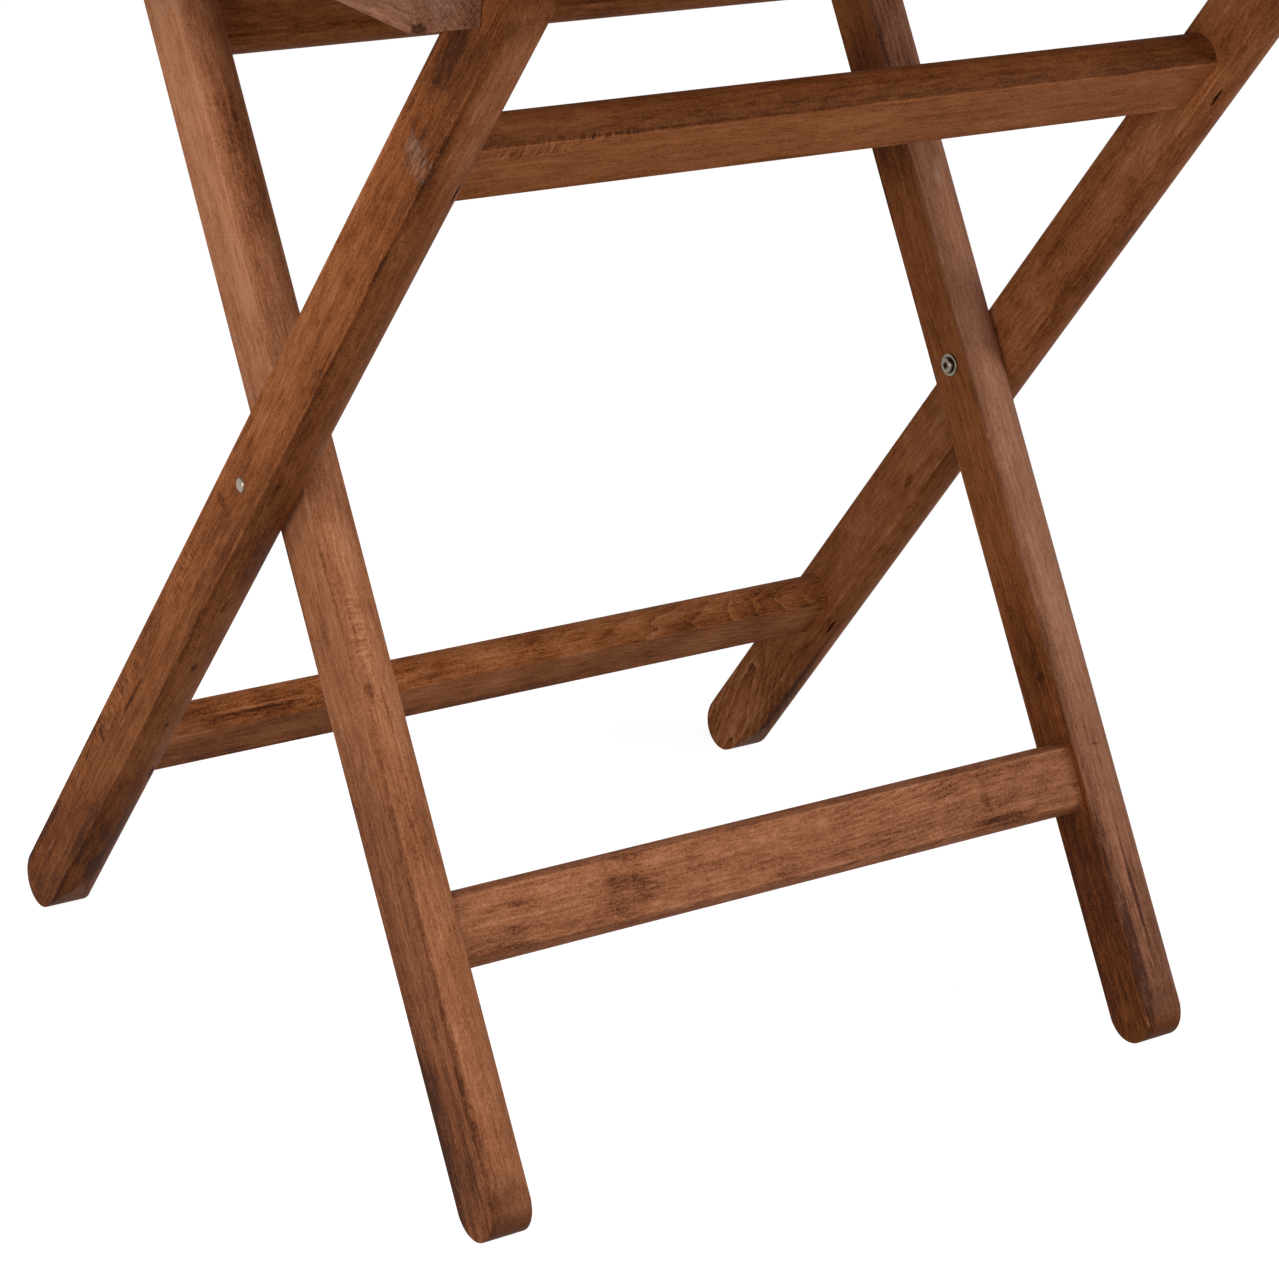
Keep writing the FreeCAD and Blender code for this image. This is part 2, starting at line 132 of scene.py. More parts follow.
def add(tree, kind, inputs=(), stops=(), **settings):
    """Adds one node.  inputs is a list or a dict of sockets, stops are a colour ramp's colours."""
    node = tree.nodes.new("ShaderNode" + kind)
    for name, value in settings.items():
        setattr(node, name, value)
    for place, (position, colour) in enumerate(stops):
        ramp = node.color_ramp.elements
        stop = ramp[place] if place < 2 else ramp.new(position)
        stop.position = position
        stop.color = linear(colour)
    for key, value in inputs.items() if isinstance(inputs, dict) else enumerate(inputs):
        source = value.outputs[0] if isinstance(value, bpy.types.Node) else value
        if isinstance(source, bpy.types.NodeSocket):
            tree.links.new(source, node.inputs[key])
        else:
            node.inputs[key].default_value = source
    return node


def new_material(name):
    """An empty material and its node tree."""
    material = bpy.data.materials.new(name)
    material.use_nodes = True
    material.node_tree.nodes.clear()
    return material, material.node_tree


print("middle of the stain in linear light:", [round(v, 3) for v in linear("#8a502b")])

# %% [markdown]
# ## Stained beech
#
# Beech is a plain, close-grained wood: soft growth rings, and short flecks where the rays are
# cut.  It takes stain unevenly, so a walnut-brown stain leaves it mottled, with darker streaks
# along the grain and dark end grain.  A thin satin oil sits over it.  Grain could be painted on
# each board's outside, but it would bend at the edges.  A pattern worked out in the board's own
# frame runs through the wood as real grain does, and meets correctly at every edge.  It is built
# up from layers of noise.  Sizes are in millimetres, along and across the grain.

# %% One layer of pattern, stretched along the grain


def grain_noise(tree, local, long_mm, wide_mm, seed, detail=2.0):
    """Noise from -0.5 to 0.5 whose blotches are long_mm by wide_mm."""
    scale = (1 / (long_mm * MM), 1 / (wide_mm * MM), 1 / (wide_mm * MM))
    stretched = add(tree, "VectorMath", [local, scale], operation="MULTIPLY")
    noise = add(tree, "TexNoise", {"Vector": stretched, "W": seed, "Scale": 1.0, "Detail": detail},
                noise_dimensions="4D")
    return add(tree, "Math", [noise, 0.5], operation="SUBTRACT")


# %% All the layers of a board's tone
LAYERS = (
    # along mm, across mm, detail, strength
    (240, 26, 1.0, 0.34),   # where the stain went on thicker
    (110, 6.0, 2.0, 0.42),  # streaks
    (34, 19, 2.0, 0.46),    # clouds
    (44, 1.6, 2.0, 0.58),   # fine streaks
    (14, 6, 3.0, 0.50),     # mottling
    (7.0, 1.1, 2.0, 0.78),  # bundles of fibres
    # beech's own pores and rays are 0.1 to 0.5 mm wide, too fine to see at this distance, so
    # they are drawn coarser
    (1.2, 0.8, 2.0, 1.0),   # speckle of rays
)
BROAD_MM = 7                # layers at least this wide are blotches of stain, the others figure


def layered_tone(tree, local, seed, tone, blotch, figure):
    """The tone of the board, from 0 (darkest) to 1 (palest)."""
    shade = tone
    for number, (long_mm, wide_mm, detail, strength) in enumerate(LAYERS):
        layer = grain_noise(tree, local, long_mm, wide_mm, seed + number, detail)
        strength *= figure if wide_mm < BROAD_MM else blotch
        shade = add(tree, "Math", [layer, strength, shade], operation="MULTIPLY_ADD")
    return shade


print("layers of pattern:", len(LAYERS), " finest, mm:", min(layer[1] for layer in LAYERS))

# %% [markdown]
# ## Growth rings
#
# A ring is a cylinder about the pith, the centre of the trunk.  The pith lies outside the board
# and runs a little askew to it, so that rings cut a broad face in pointed arches where it sinks
# away, and in straight lines elsewhere.  Each ring ends in a thin dark line and starts pale.

# %% Rings round a pith that drifts along the board
RING_WAVER_MM = 12          # how far the rings wander, from one side to the other
RING_RAGGED = 0.9           # how far a ring's line strays, in ring spacings
DARK_POWER = 4.0            # the higher, the thinner the dark line that ends a ring
PALE_POWER = 6.0            # and the pale line that starts the next


def growth_rings(tree, local, parts, pith, drift, spacing_mm, seed):
    """Two masks: the dark end and the pale start of each ring.  pith is in mm, drift in mm/mm."""
    waver = grain_noise(tree, local, 130, 60, seed)         # moves all the rings together
    away = []
    for axis in (0, 1):
        line = add(tree, "Math", [parts.outputs[0], drift[axis], pith[axis] * MM],
                   operation="MULTIPLY_ADD")
        line = add(tree, "Math", [waver, RING_WAVER_MM * MM, line], operation="MULTIPLY_ADD")
        away.append(add(tree, "Math", [parts.outputs[axis + 1], line], operation="ADD"))
    flat = add(tree, "CombineXYZ", [0.0] + away)
    radius = add(tree, "VectorMath", [flat], operation="LENGTH").outputs["Value"]
    count = add(tree, "Math", [radius, 1 / (spacing_mm * MM)], operation="MULTIPLY")
    ragged = grain_noise(tree, local, 16, 7, seed + 1)      # roughens each of them
    count = add(tree, "Math", [ragged, RING_RAGGED, count], operation="MULTIPLY_ADD")
    part = add(tree, "Math", [count], operation="FRACT")
    dark = add(tree, "Math", [part, DARK_POWER], operation="POWER")
    left = add(tree, "Math", [1.0, part], operation="SUBTRACT")
    pale = add(tree, "Math", [left, PALE_POWER], operation="POWER")
    return dark, pale


# %% How plainly the rings show
RING_DARKER, RING_PALER = -0.20, 0.26


def ringed_tone(tree, shade, parts, dark, pale, rings, arches):
    """Adds the rings to the tone: rings is how plainly they show, arches where they show more."""
    plain = rings
    if arches:
        x_mm, half_mm, strong = arches
        off = add(tree, "Math", [parts, x_mm * MM], operation="SUBTRACT")
        off = add(tree, "Math", [off], operation="ABSOLUTE")
        near = add(tree, "MapRange", {"Value": off, 1: 0.5 * half_mm * MM, 2: half_mm * MM,
                                      3: 1.0, 4: 0.0}, interpolation_type="SMOOTHSTEP")
        plain = add(tree, "Math", [near, strong - rings, rings], operation="MULTIPLY_ADD")
    for mask, change in ((dark, RING_DARKER), (pale, RING_PALER)):
        mask = add(tree, "Math", [mask, plain], operation="MULTIPLY")
        shade = add(tree, "Math", [mask, change, shade], operation="MULTIPLY_ADD")
    return shade


# %% [markdown]
# ## Ridges
#
# The boards' narrow sides are crowned, and a ridge runs along each long edge of a flat face.
# Sanding thins the stain there to a pale, ragged line, and stain that gathered beside it leaves
# a darker one; either comes and goes along the board.  The flat faces come from the planer and
# the crowned edges from a moulding cutter, and they take the stain differently, so each side of
# a ridge has a tone of its own.  Those tones also hold painted light and shade: each side is
# painted lighter or darker across its width, where the lamps and the tray light or shade it.
# Both are worked out from how far a point is from the ridge.

# %% The lines along a ridge
RIDGE_RAGGED_MM = 2.4
RIDGE_LINES = (
    # full within mm, gone at mm, noise where it shows and where it is hidden, change of tone
    (0.2, 1.2, 0.12, -0.12, 0.20),      # sanded pale
    (0.4, 1.9, -0.16, 0.06, -0.20),     # darker, where stain gathered
)


def ridge_wear(tree, local, shade, ridge, seed):
    """Adds the pale line and the dark line along the ridges at |z|, |y| = ridge, in mm."""
    half_thick, flat_half = ridge
    size = add(tree, "VectorMath", [local], operation="ABSOLUTE")
    parts = add(tree, "SeparateXYZ", [size])
    off_face = add(tree, "Math", [parts.outputs[2], half_thick * MM], operation="SUBTRACT")
    off_edge = add(tree, "Math", [parts.outputs[1], flat_half * MM], operation="SUBTRACT")
    gap = add(tree, "CombineXYZ", [0.0, off_face, off_edge])
    gap = add(tree, "VectorMath", [gap], operation="LENGTH").outputs["Value"]
    ragged = grain_noise(tree, local, 2.6, 1.6, seed)
    ragged = add(tree, "Math", [ragged, RIDGE_RAGGED_MM * MM, gap], operation="MULTIPLY_ADD")
    come_and_go = grain_noise(tree, local, 60, 60, seed + 1)
    for full_mm, none_mm, shown, hidden, change in RIDGE_LINES:
        line = add(tree, "MapRange", {"Value": ragged, 1: full_mm * MM, 2: none_mm * MM, 3: 1.0,
                                      4: 0.0}, interpolation_type="SMOOTHSTEP")
        here = add(tree, "MapRange", {"Value": come_and_go, 1: shown, 2: hidden, 3: 1.0,
                                      4: 0.0}, interpolation_type="SMOOTHSTEP")
        line = add(tree, "Math", [line, here], operation="MULTIPLY")
        shade = add(tree, "Math", [line, change, shade], operation="MULTIPLY_ADD")
    return shade


# %% Flat faces and crowned edges take the stain differently, and carry painted light and shade
RIDGE_STEP_MM = 0.3         # the tone goes over from face to crown this far on both sides


def side_tones_with_painted_shade(tree, parts, ridge, face, crown):
    """How much lighter or darker the flat faces and the crowned edges are.

    face is the change at the face's low-Y and high-Y sides, crown is the change at the crowned
    edge's low-Z and high-Z sides.  The two meet at the ridge.
    """
    # besides the stain, face and crown paint light and shade across each side of the board
    half_thick, flat_half = ridge
    on_face = add(tree, "MapRange", {"Value": parts.outputs[1], 1: -flat_half * MM,
                                     2: flat_half * MM, 3: face[0], 4: face[1]})
    on_crown = add(tree, "MapRange", {"Value": parts.outputs[2], 1: -half_thick * MM,
                                      2: half_thick * MM, 3: crown[0], 4: crown[1]})
    height = add(tree, "Math", [parts.outputs[1]], operation="ABSOLUTE")
    past = add(tree, "MapRange", {"Value": height, 1: (flat_half - RIDGE_STEP_MM) * MM,
                                  2: (flat_half + RIDGE_STEP_MM) * MM, 3: 0.0, 4: 1.0})
    return add(tree, "Mix", {0: past, 2: on_face, 3: on_crown})


# %% [markdown]
# ## Marks
#
# A mark is one thing that happened to one board: a knot, a crack, a patch where stain pooled.
# A few marks are painted shade instead: a shadow cast on a board, or the dark of a deep slit.
# It could be painted by hand, but an ellipsoid with a soft and ragged outline, given by its
# place and size, does the same and can be moved.  Ripples are the short cross-grain lines that a
# blunt cutter leaves, and a scuff is chalky: there the oil is rubbed off along the fibres.

# %% One mark, and all of them
MARK_FULL, MARK_GONE = 0.45, 1.15   # in half sizes from its middle
MARK_RAGGED = 1.6                   # how far a mark's outline strays, in half sizes
LONG_MARK_MM = 12                   # longer marks are less ragged for their size
RIPPLE_STRENGTH = 1.5
CHALK_BASE = 0.12                   # the higher, the more of a scuff is chalky


def spot(tree, local, ragged, place, half):
    """1 inside an ellipsoid at place, with half sizes half, in mm, and 0 outside it."""
    near = add(tree, "Mapping", {"Vector": local, "Location": [p * MM for p in place],
                                 "Scale": [h * MM for h in half]}, vector_type="TEXTURE")
    away = add(tree, "VectorMath", [near], operation="LENGTH").outputs["Value"]
    outline = add(tree, "Math", [ragged, MARK_RAGGED / max(1, half[0] / LONG_MARK_MM), away],
                  operation="MULTIPLY_ADD")
    return add(tree, "MapRange", {"Value": outline, 1: MARK_FULL, 2: MARK_GONE, 3: 1.0, 4: 0.0},
               interpolation_type="SMOOTHSTEP")


def marked_tone(tree, local, shade, ragged, seed, marks, ripples):
    """Adds a board's marks and ripples to its tone."""
    for x, y, z, half, change in marks:
        mark = spot(tree, local, ragged, (x, y, z), half)
        shade = add(tree, "Math", [mark, change, shade], operation="MULTIPLY_ADD")
    for x, y, z, half in ripples:
        wave = grain_noise(tree, local, 1.6, 6.0, seed, 1.0)    # short along the grain
        wave = add(tree, "Math", [wave, spot(tree, local, ragged, (x, y, z), half)],
                   operation="MULTIPLY")
        shade = add(tree, "Math", [wave, RIPPLE_STRENGTH, shade], operation="MULTIPLY_ADD")
    return shade


def scuffed_colour(tree, local, colour, ragged, seed, scuffs):
    """Lays a board's chalky scuffs over its colour."""
    for x, y, z, half in scuffs:
        chalk = grain_noise(tree, local, 7, 1.4, seed, 3.0)
        chalk = add(tree, "Math", [chalk, CHALK_BASE], operation="ADD")
        chalk = add(tree, "Math", [chalk, spot(tree, local, ragged, (x, y, z), half)],
                    operation="MULTIPLY", use_clamp=True)
        colour = add(tree, "MixRGB", [chalk, colour, linear("#bda595")])
    return colour


# %% [markdown]
# ## From tone to stain and oil
#
# A colour ramp turns the tone into walnut stain: a deep brown where much of it sank in, and a
# warm tan where it was rubbed off.  Ends of boards drink stain like straws and go dark, and
# this is told from which way the surface faces.  The oil is thin and satin, so the shader is
# rough, with a weak gloss, and a slight bump of fibres breaks the gloss up.  The Bevel node
# softens the light at sharp edges, as a maker's sandpaper does.

# %% Stain
# a new ramp has two stops, so its two ends come first
STAIN = ((0.0, "#44210d"), (1.0, "#b1754f"), (0.25, "#6d3a1b"), (0.5, "#8a502b"),
         (0.75, "#9e613b"))
# a face's or crown's change is partly stain and partly painted light and shade
SIDE_SHADE_IN_TONE = 0.6      # this share of a face's or crown's change goes through the ramp,
SIDE_SHADE_IN_LIGHT = 0.5     # and this much is brightness alone, so that the speckle stays even
EYE_POWER = 2.2             # a change is counted as the eye counts it; colours are linear light


def brightened(tree, colour, side_tone_and_shade):
    """The part of a face's or crown's change that is brightness alone."""
    light = add(tree, "Math", [side_tone_and_shade, SIDE_SHADE_IN_LIGHT, 1.0], operation="MULTIPLY_ADD")
    light = add(tree, "Math", [light, EYE_POWER], operation="POWER")
    return add(tree, "HueSaturation", {"Color": colour, "Value": light})


def dried(tree, colour, parts, dry):
    """Takes colour out where the oil has worn dry."""
    axis, wet_mm, dry_mm, amount = dry
    bloom = add(tree, "MapRange", {"Value": parts.outputs[axis], 1: wet_mm * MM, 2: dry_mm * MM,
                                   3: 0.0, 4: amount})
    fresh = add(tree, "Math", [1.0, bloom], operation="SUBTRACT")
    return add(tree, "HueSaturation", {"Color": colour, "Saturation": fresh})


FACES_ENDWISE = (0.12, 0.22)    # how far a surface faces along the grain to count as sawn across
END_STEP, TIP_MORE = 0.36, 0.35


def dark_ends(tree, colour, facing, end_dark):
    """Darkens the end grain: by a step where fibres are cut across, and more towards the tip."""
    ends = add(tree, "SeparateXYZ", [facing])
    endwise = add(tree, "Math", [ends], operation="ABSOLUTE")
    none, full = FACES_ENDWISE
    sawn = add(tree, "MapRange", {"Value": endwise, 1: full, 2: none, 3: 1.0, 4: 0.0},
               interpolation_type="SMOOTHSTEP")
    tip = add(tree, "MapRange", {"Value": endwise, 1: 0.2, 2: 0.9, 3: 0.0,
                                 4: TIP_MORE * end_dark})
    amount = add(tree, "Math", [sawn, END_STEP * end_dark, tip], operation="MULTIPLY_ADD")
    return add(tree, "MixRGB", [amount, colour, linear("#3a1c0c")])


print("stain, from darkest to palest:", [colour for _, colour in sorted(STAIN)])

# %% Oil
OIL_ROUGHNESS, FIBRE_ROUGHNESS = 0.62, 0.3
SANDED_EDGE_MM = 0.4


def oiled_wood(tree, colour, fibre):
    """The shader: a satin oil, more matt where the fibres stand up."""
    soft = add(tree, "Bevel", {"Radius": SANDED_EDGE_MM * MM}, samples=4)
    bump = add(tree, "Bump", {"Strength": 0.4, "Distance": 0.2 * MM, "Height": fibre,
                              "Normal": soft})
    rough = add(tree, "Math", [fibre, FIBRE_ROUGHNESS, OIL_ROUGHNESS],
                operation="MULTIPLY_ADD")
    shader = add(tree, "BsdfPrincipled", {
        "Base Color": colour, "Roughness": rough, "Normal": bump, "IOR": 1.4,
        "Specular IOR Level": 0.08})
    add(tree, "OutputMaterial", [shader])


# %% One board's material


def stained_beech(name, centre, turn, seed, pith=(35, 50), drift=(0.01, 0.02), spacing_mm=3.2,
                  rings=0.5, arches=None, ridge=None, tone=0.5, blotch=1.0, figure=1.0, dry=None,
                  end_dark=1.0, face=(0.0, 0.0), crown=(0.0, 0.0), marks=(), ripples=(),
                  scuffs=()):
    """Walnut-stained beech under a thin satin oil, for one board.

    It gives the eye a warm, mottled brown with a soft sheen and dark ends.

    rings is how plainly the growth rings show, and arches is (x, half length, strength) of a
    stretch where they show more.  blotch scales the broad layers of pattern and figure the fine
    ones.  end_dark scales how dark the end grain is.  dry is (axis, from, to, amount): where
    the oil has worn dry along one side, counted in mm along Y (1) or Z (2).  face and crown are
    the changes of tone of the flat faces and the crowned edges, partly stain and partly painted
    light and shade.  marks are (x, y, z, half sizes, change of tone), ripples and scuffs are
    (x, y, z, half sizes), all in mm in the board's own frame; a few marks are painted shade.
    """
    material, tree = new_material(name)
    where = add(tree, "TexCoord")
    local = add(tree, "Mapping", {"Vector": where.outputs["Object"], "Location": centre,
                                  "Rotation": turn}, vector_type="TEXTURE")
    facing = add(tree, "Mapping", {"Vector": where.outputs["Normal"], "Rotation": turn},
                 vector_type="TEXTURE")
    parts = add(tree, "SeparateXYZ", [local])
    shade = layered_tone(tree, local, seed, tone, blotch, figure)
    # every noise has a seed of its own, counted on from the layers'
    dark, pale = growth_rings(tree, local, parts, pith, drift, spacing_mm, seed + 7)
    shade = ringed_tone(tree, shade, parts, dark, pale, rings, arches)
    if ridge:
        side_tone_and_shade = side_tones_with_painted_shade(tree, parts, ridge, face, crown)
        shade = add(tree, "Math", [side_tone_and_shade, SIDE_SHADE_IN_TONE, shade], operation="MULTIPLY_ADD")
        shade = ridge_wear(tree, local, shade, ridge, seed + 9)
    ragged = grain_noise(tree, local, 5, 2.5, seed + 11)
    shade = marked_tone(tree, local, shade, ragged, seed + 12, marks, ripples)

    colour = add(tree, "ValToRGB", [shade], stops=STAIN)
    if ridge:
        colour = brightened(tree, colour, side_tone_and_shade)
    if dry:
        colour = dried(tree, colour, parts, dry)
    colour = dark_ends(tree, colour, facing, end_dark)
    colour = scuffed_colour(tree, local, colour, ragged, seed + 14, scuffs)
    oiled_wood(tree, colour, grain_noise(tree, local, 9, 0.9, seed + 13, 3.0))
    print(name, "marks:", len(marks), "nodes:", len(tree.nodes))
    return material


# %% [markdown]
# ## Cutting the boards from the plank
#
# No two boards come from the same place in the log, so each has its own seed, its own distance
# to the pith and its own marks.  A leg's frame starts at its pivot: X runs up the leg, Y to the
# front and Z across the table.  A rail's frame starts at its middle, with X to the right.  One
# material for all of them would repeat its knots, so there is one for each board, and they
# differ only in the numbers of this table.

# %% What sets each leg and rail apart
LEG_FACE = 11.75            # from the middle of a leg to its broad face, mm
LEG_RIDGE = (LEG_FACE, 16.25)
OUT = -LEG_FACE             # the broad face that looks to the left

# places and sizes are in mm in the board's own frame; stained_beech says what each entry means
BOARDS = {
    "outer_leg_left": {
        "pith": (40, 60), "drift": (0.02, 0.03), "rings": 0.4, "blotch": 1.3, "figure": 0.9,
        "face": (0.07, -0.10), "crown": (-0.34, -0.17),
        # first a crack with a pale splinter beside it, last three nicks in the front edge and
        # the broad patches of that edge; between them pooled stain, rubbed places and flecks, and a
        # painted shadow of the tray and runner on the leg's top
        "marks": ((-204, -0.7, OUT, (9, 1.6, 2), -0.4), (-187, -0.4, OUT, (17, 1.5, 2), -0.5),
                  (-207, -1.0, OUT, (7, 0.8, 2), 0.5), (-262, -9, OUT, (4, 6, 2), -0.16),
                  (-285, 13, OUT, (55, 3.5, 2), -0.2), (-370, 0, OUT, (110, 40, 5), -0.2),
                  # the first mark here and (308, -5) below are a painted shadow of the tray and
                  # runner
                  (300, 0, OUT, (70, 40, 5), -0.15), (60, 0, OUT, (45, 18, 4), 0.14),
                  (308, -5, OUT, (30, 9, 4), -0.3), (160, 20, 0, (150, 6, 14), 0.16),
                  (225, 0, OUT, (45, 25, 4), -0.12),
                  (105, 15, OUT, (14, 4, 2), -0.2), (-20, 13, OUT, (45, 4, 2), -0.15),
                  (-230, 20, 3, (130, 5, 4), -0.08),
                  (-236, -8, OUT, (3, 5, 2), -0.18), (-196, -10, OUT, (4, 5, 2), -0.16),
                  (-170, -9, OUT, (3, 5, 2), -0.14), (-95, -6, OUT, (3, 3, 2), -0.2),
                  (22, -6, OUT, (9, 5, 2), -0.2), (-22, -6, OUT, (4, 8, 2), -0.2),
                  (122, -4, OUT, (8, 4, 2), -0.18), (-335, 20, 0, (22, 4, 4), -0.3),
                  (-370, 6, OUT, (22, 9, 3), -0.2), (-350, -14, OUT, (40, 4, 3), -0.15),
                  (-187, 20, -1, (3, 4, 1.6), -0.45), (-133, 20, -2, (3.5, 4, 2), -0.6),
                  (-79, 20, -3, (6, 4, 1.2), -0.5), (310, 20, 0, (72, 8, 14), 0.38),
                  (-150, 20, 0, (120, 8, 14), 0.16), (-300, 20, 0, (60, 8, 14), -0.2)),
        "ripples": ((-215, -10, OUT, (60, 7, 4)), (-90, -9, OUT, (30, 7, 4))),
        "scuffs": ((251, 5, OUT, (10, 12, 3)),)},
    "inner_leg_left": {
        "pith": (25, 55), "drift": (0.01, 0.02), "rings": 0.35, "blotch": 1.1, "tone": 0.58,
        "figure": 0.88, "face": (0.02, 0.10), "crown": (-0.09, 0.11),
        "dry": (1, -40, -39, 0.06),
        # flecks and streaks, then the paler top and the darker foot
        "marks": ((-115, 20, -6, (7, 4, 3), -0.3), (-140, 20, 0, (60, 4, 0.9), -0.15),
                  (-330, -15, OUT, (60, 5, 3), -0.2),
                  (-225, 8, OUT, (8, 1, 2), -0.25), (70, 14, OUT, (6, 2, 2), -0.25),
                  (112, 11, OUT, (7, 1.2, 2), -0.2), (-240, 20, -8, (120, 4, 1.6), 0.14),
                  (-250, 0, OUT, (60, 7, 3), 0.12), (160, 0, OUT, (180, 30, 6), 0.26),
                  (-300, 0, OUT, (190, 40, 6), -0.33), (-335, 0, OUT, (45, 40, 6), -0.2),
                  (-290, 20, -9, (130, 4, 2.5), 0.16), (-290, 13, OUT, (120, 4, 3), 0.2),
                  (150, 20, 2, (50, 6, 8), -0.2),
                  (-90, 20, 2, (70, 6, 13), 0.2)),
        "ripples": ((-85, 20, -4, (28, 4, 5)),)},
    "outer_leg_right": {
        "pith": (112, 50), "drift": (0.33, 0.08), "spacing_mm": 4.2, "rings": 0.15,
        "arches": (-345, 65, 1.7), "tone": 0.6, "blotch": 1.7, "crown": (-0.14, -0.1),
        # pooled stain on the front edge, a knot, and a long dark streak by the foot
        "marks": ((-330, 20, 2, (50, 6, 12), -0.2), (120, 20, 2, (60, 6, 12), -0.15),
                  (-105, 6, OUT, (6, 3, 2), -0.4), (-310, 20, -2.5, (85, 5, 2.2), -0.35),
                  (-255, -6, OUT, (14, 5, 2), -0.25))},
    "inner_leg_right": {
        "pith": (30, 70), "drift": (0.015, 0.01), "rings": 0.5, "tone": 0.5,
        "dry": (1, 12, 17, 0.14), "blotch": 0.7, "figure": 0.72, "crown": (0.0, 0.03),
        # a knot, darker patches at the foot and the top, and two pale chips at the end
        "marks": ((-181, 4, OUT, (3, 4, 2), -0.26), (-173, 0, OUT, (5, 2, 2), -0.2),
                  (-345, 0, OUT, (140, 40, 6), -0.4), (-185, 0, OUT, (70, 30, 4), -0.2),
                  (150, 0, OUT, (60, 30, 4), -0.32), (-60, 20, 0, (200, 8, 14), 0.2),
                  (-330, 20, 0, (50, 8, 14), -0.15), (180, 20, 0, (70, 8, 14), -0.2),
                  (-305, 20, -2, (40, 4, 1.6), -0.3), (-224, 20, -1, (0.8, 4, 4), -0.3),
                  (-379, 14, OUT, (5, 1.0, 2), 0.6), (-45, 15, OUT, (2, 1.5, 2), 0.4)),
        "scuffs": ((104, 20, -1, (10, 4, 3)),)},
    "outer_upper_rail": {
        "pith": (30, 45), "drift": (0.01, 0.015), "rings": 0.3, "tone": 0.57,
        # its crowned edges are painted darker towards the front: painted shade, as the tray shades
        # its top
        "blotch": 0.75, "figure": 0.8, "face": (-0.07, 0.0), "crown": (0.03, -0.37),
        "ripples": ((-165, 17.5, 10, (60, 2.2, 2.2)), (-190, 12, 10, (35, 5, 2.0))),
        "marks": ((212, -15, 10, (7, 1, 2), 0.4), (0, -17, 10, (230, 3, 3), -0.15),
                  (190, 21, 0, (50, 6, 13), -0.12), (0, 0, 10, (40, 16, 4), 0.1),
                  (-180, 21, 0, (40, 6, 13), 0.15))},
    "outer_lower_rail": {
        "pith": (28, 24), "drift": (0.15, 0.0), "spacing_mm": 3.4, "rings": 0.3,
        "arches": (140, 85, 1.0), "blotch": 2.2, "figure": 1.1, "tone": 0.54,
        "face": (-0.09, 0.03), "crown": (0.12, -0.03),
        "marks": ((40, 0, 10, (45, 16, 4), -0.18), (-60, 2, 10, (35, 16, 4), 0.12),
                  (190, 18, -2, (18, 4, 6), -0.3), (-170, 18, 3, (40, 3, 0.8), 0.3),
                  (-170, 18, 5, (40, 3, 1.0), -0.3))},
    "inner_upper_rail": {"pith": (30, 50), "rings": 0.4},
    "inner_lower_rail": {
        "pith": (-22, 2), "drift": (0.0, 0.12), "spacing_mm": 1.9, "rings": 0.2,
        "arches": (80, 60, 1.0), "tone": 0.54, "dry": (2, 0, 10, 0.07), "figure": 1.05,
        "face": (0.0, 0.10),
        "marks": ((-185, 8, 10, (25, 14, 4), 0.08), (-100, 0, 10, (20, 20, 4), -0.25),
                  (150, -14, 10, (26, 3.5, 3), -0.36), (-5, -15, 10, (14, 3, 3), -0.25),
                  (-55, 0, 10, (7, 16, 3), -0.14), (137, 0, 10, (3.5, 12, 3), -0.16),
                  (-120, -15, 10, (14, 3, 3), -0.2), (-180, -12, 10, (22, 5, 3), -0.2),
                  (-170, 6, 10, (20, 3, 3), -0.16), (-100, 4, 10, (14, 3, 3), -0.16))},
}

print("boards in the frames:", len(BOARDS))

# %% [markdown]
# ## Legs and rails
#
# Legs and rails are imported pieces, so only their material is set here.  A ridge is told by its
# distance from the board's middle: half the thickness one way, half the flat face the other.
# A rail's flat face is found from its box, whose top touches the arc of the crowned edge.

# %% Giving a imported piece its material


def finish_with(node, material):
    """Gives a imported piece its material."""
    slots = NODES[node].data.materials
    slots.clear()
    slots.append(material)


# %% Where the ridges and the staple slits are
RAIL_CROWN = 4.2
RAIL_HALF_THICK = 10.5
RAIL_CROWN_RADIUS = (RAIL_HALF_THICK ** 2 + RAIL_CROWN ** 2) / (2 * RAIL_CROWN)
SLIT_REACHES = (239.4, -237.8)      # up and down a leg from its pivot, beside the rails
SLIT_HEIGHT, SLIT_OFF_MIDDLE = 19.4, 6.75   # from a leg's middle, across its width and thickness
SLIT_HALF = (6.4, 3, 1.05)


def rail_ridge(node, rise):
    """The distances of a rail's ridges from its middle, in mm."""
    low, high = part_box(node)
    # the box's top touches the crown's arc, whose centre lies this far up the leaning rail
    arc_centre = ((high - low).z / MM / 2 - RAIL_CROWN_RADIUS) / rise.z
    half_height = arc_centre + RAIL_CROWN_RADIUS
    print(node, "height, mm:", round(2 * half_height, 1))
    return RAIL_HALF_THICK, half_height - RAIL_CROWN


def slit_shade_and_stain(node):
    """Marks where a leg's slits over its sunk staples go dark: painted shade of the deep slits,
    with the stain that gathers in them.
    """
    under = 1 if node.startswith("outer") else -1
    inward = 1 if node.endswith("left") else -1
    return tuple((reach, under * SLIT_HEIGHT, inward * SLIT_OFF_MIDDLE, SLIT_HALF, -1.0)
                 for reach in SLIT_REACHES)


